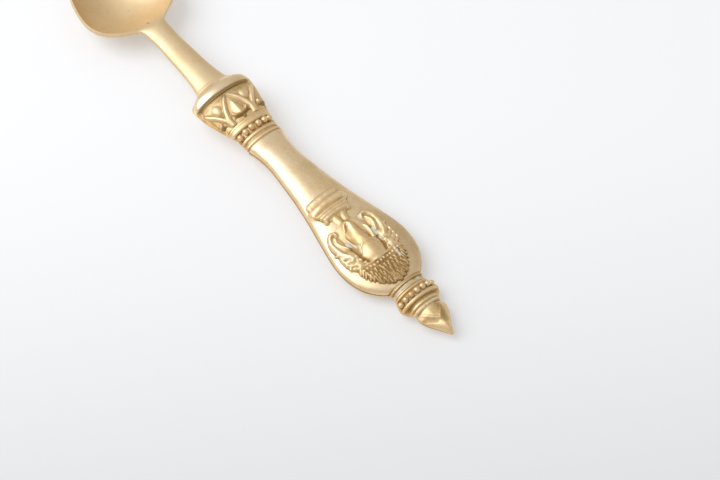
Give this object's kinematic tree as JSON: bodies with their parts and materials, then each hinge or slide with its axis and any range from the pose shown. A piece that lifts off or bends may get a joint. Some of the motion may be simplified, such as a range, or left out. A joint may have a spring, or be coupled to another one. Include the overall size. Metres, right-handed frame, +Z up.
{
  "type": "souvenir spoon",
  "caption": "Small brass spoon with an egg-shaped bowl, a flared leaf collar, a domed handle with a relief on its lobe, and a beaded finial with a pointed bud.",
  "frame": {"origin": "on the table, under the middle of the spoon's length and width", "axes": "+X from the bowl to the finial, +Z up from the table to the decorated side, which faces up"},
  "size_m": [0.1324, 0.0236, 0.0091],
  "materials": {
    "satin_brass": "satin, faintly brushed along the length",
    "polished_brass": "burnished, with small casting pits",
    "cast_brass": "bright high points, brown tarnish and pale polish residue in the recesses",
    "pin_brass": "plain drawn wire",
    "filler_cement": "matt"
  },
  "bodies": {
    "root": {"bowl": "satin_brass", "stem": "satin_brass", "collar_lip": "polished_brass", "collar_cap": "cast_brass", "collar_leaves": "cast_brass", "collar_spool": "cast_brass", "collar_beads": "cast_brass", "handle_front": "polished_brass", "handle_back": "polished_brass", "handle_filler": "filler_cement", "crest": "cast_brass", "finial_neck": "cast_brass", "finial_cup": "cast_brass", "finial_beads": "cast_brass", "finial_spool": "cast_brass", "finial_bud": "cast_brass", "finial_pin": "pin_brass"}
  },
  "joints": []
}
